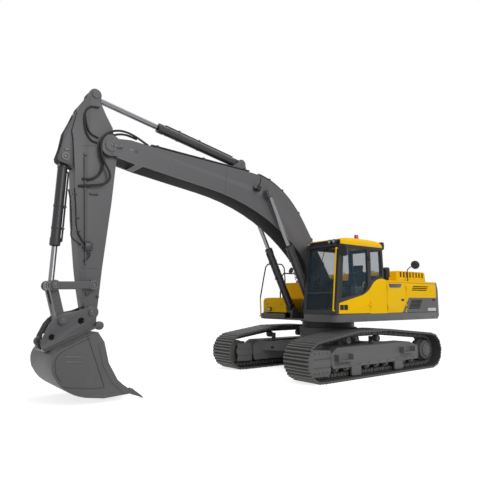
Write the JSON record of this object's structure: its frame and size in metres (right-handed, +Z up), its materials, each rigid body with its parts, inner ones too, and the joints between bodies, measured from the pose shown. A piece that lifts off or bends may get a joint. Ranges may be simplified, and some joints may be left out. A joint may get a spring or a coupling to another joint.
{
  "type": "crawler excavator",
  "caption": "Crawler excavator with a swinging upper body, cab, one-piece boom, arm, quick coupler and toothed bucket on steel tracks.",
  "frame": {"origin": "on the ground under the slew axis", "axes": "+X forward along the tracks and the boom, +Y to the cab side, +Z up"},
  "size_m": [10.2008, 3.29, 5.5027],
  "materials": {
    "graphite_paint": "satin",
    "yellow_paint": "gloss",
    "black_paint": "satin",
    "chromed_steel": "polished",
    "worn_steel": "worn",
    "dull_steel": "dull",
    "tinted_glass": "clear",
    "red_lens": "gloss",
    "seat_cloth": "woven"
  },
  "bodies": {
    "undercarriage": {"car_body": "graphite_paint", "slew_ring": "black_paint", "track_frames": "graphite_paint", "track_left": "worn_steel", "track_right": "worn_steel", "idlers": "worn_steel", "drive_sprockets": "worn_steel", "rollers": "worn_steel"},
    "upper": {"revolving_frame": "graphite_paint", "side_sills": "graphite_paint", "counterweight": "graphite_paint", "engine": "black_paint", "deck_cover": "yellow_paint", "fuel_tank": "yellow_paint", "toolbox": "yellow_paint", "handrails": "black_paint", "mirrors": "black_paint", "exhaust": "dull_steel", "cab_floor": "black_paint", "cab_frame": "black_paint", "cab_panel": "yellow_paint", "cab_roof": "yellow_paint", "cab_glass": "tinted_glass", "seat": "seat_cloth", "controls": "black_paint", "lamps": "black_paint", "beacon": "red_lens"},
    "engine_hood": {"engine_hood": "yellow_paint"},
    "left_front_door": {"left_front_door": "yellow_paint"},
    "left_rear_door": {"left_rear_door": "yellow_paint"},
    "right_rear_door": {"right_rear_door": "yellow_paint"},
    "cab_door": {"cab_door": "black_paint", "door_panel": "yellow_paint", "door_glass": "tinted_glass"},
    "boom": {"boom": "graphite_paint", "boom_lines": "black_paint"},
    "boom_barrels": {"boom_cylinders": "graphite_paint"},
    "boom_rods": {"boom_rods": "chromed_steel"},
    "arm_barrel": {"arm_cylinder": "graphite_paint"},
    "arm_rod_end": {"arm_rod": "chromed_steel"},
    "arm": {"arm": "graphite_paint", "arm_lines": "black_paint"},
    "bucket_barrel": {"bucket_cylinder": "graphite_paint"},
    "bucket_rod_end": {"bucket_rod": "chromed_steel"},
    "side_links": {"side_links": "graphite_paint"},
    "power_link": {"power_link": "graphite_paint"},
    "bucket": {"coupler": "graphite_paint", "bucket": "graphite_paint", "bucket_teeth": "worn_steel"}
  },
  "joints": [
    {"name": "slew", "type": "hinge", "parent": "undercarriage", "child": "upper", "pos_m": [0, 0, 1.1], "axis": [0, 0, 1], "continuous": true},
    {"name": "boom_lift", "type": "hinge", "parent": "upper", "child": "boom", "pos_m": [0.23, 0, 1.95], "axis": [0, -1, 0], "range_deg": [-71, 36]},
    {"name": "boom_cylinder_swing", "type": "hinge", "parent": "upper", "child": "boom_barrels", "pos_m": [0.88, 0, 1.39], "axis": [0, -1, 0], "range_deg": [-74.5, 38.8]},
    {"name": "boom_rod_slide", "type": "slide", "parent": "boom_barrels", "child": "boom_rods", "axis": [0.4595, 0, 0.8882], "range_m": [-0.89856, 0.46054]},
    {"name": "arm_fold", "type": "hinge", "parent": "boom", "child": "arm", "pos_m": [5.9597, 0, 4.46159], "axis": [0, 1, 0], "range_deg": [-75, 35]},
    {"name": "arm_cylinder_swing", "type": "hinge", "parent": "boom", "child": "arm_barrel", "pos_m": [2.84059, 0, 4.71457], "axis": [0, 1, 0], "range_deg": [-5.4, 3.6]},
    {"name": "arm_rod_slide", "type": "slide", "parent": "arm_barrel", "child": "arm_rod_end", "axis": [0.981, 0, 0.1942], "range_m": [-1.12882, 0.53212]},
    {"name": "bucket_curl", "type": "hinge", "parent": "arm", "child": "bucket", "pos_m": [6.1718, 0, 1.45105], "axis": [0, 1, 0], "range_deg": [-60, 112]},
    {"name": "side_link_swing", "type": "hinge", "parent": "arm", "child": "side_links", "pos_m": [6.18109, 0, 1.91685], "axis": [0, 1, 0], "range_deg": [-41.6, 75.9]},
    {"name": "power_link_swing", "type": "hinge", "parent": "side_links", "child": "power_link", "pos_m": [6.82059, 0, 1.90376], "axis": [0, 1, 0], "range_deg": [-47.9, 26.6]},
    {"name": "bucket_cylinder_swing", "type": "hinge", "parent": "arm", "child": "bucket_barrel", "pos_m": [6.71603, 0, 4.14195], "axis": [0, 1, 0], "range_deg": [-5.2, 7.9]},
    {"name": "bucket_rod_slide", "type": "slide", "parent": "bucket_barrel", "child": "bucket_rod_end", "axis": [0.0467, 0, -0.9989], "range_m": [-0.38403, 0.70818]},
    {"name": "cab_door_hinge", "type": "hinge", "parent": "upper", "child": "cab_door", "pos_m": [0.146, 1.461, 2.1], "axis": [0, 0, 1], "range_deg": [0, 92]},
    {"name": "left_front_door_hinge", "type": "hinge", "parent": "upper", "child": "left_front_door", "pos_m": [-0.5, 1.461, 1.75], "axis": [0, 0, -1], "range_deg": [0, 95]},
    {"name": "left_rear_door_hinge", "type": "hinge", "parent": "upper", "child": "left_rear_door", "pos_m": [-1.277, 1.461, 1.75], "axis": [0, 0, -1], "range_deg": [0, 95]},
    {"name": "right_rear_door_hinge", "type": "hinge", "parent": "upper", "child": "right_rear_door", "pos_m": [-0.5, -1.461, 1.75], "axis": [0, 0, 1], "range_deg": [0, 95]},
    {"name": "engine_hood_hinge", "type": "hinge", "parent": "upper", "child": "engine_hood", "pos_m": [-1.039, 0, 2.16], "axis": [0, 1, 0], "range_deg": [0, 55]}
  ],
  "couplings": [
    {"joint": "boom_cylinder_swing", "follows": "boom_lift", "ratio": 1.0209},
    {"joint": "boom_rod_slide", "follows": "boom_lift", "m_per_rad": 0.71705},
    {"joint": "arm_cylinder_swing", "follows": "arm_fold", "ratio": 0.04592},
    {"joint": "arm_rod_slide", "follows": "arm_fold", "m_per_rad": 0.85472},
    {"joint": "side_link_swing", "follows": "bucket_curl", "ratio": 0.66},
    {"joint": "power_link_swing", "follows": "bucket_curl", "ratio": -0.41},
    {"joint": "bucket_cylinder_swing", "follows": "bucket_curl", "ratio": 0.05251},
    {"joint": "bucket_rod_slide", "follows": "bucket_curl", "m_per_rad": 0.35717}
  ]
}
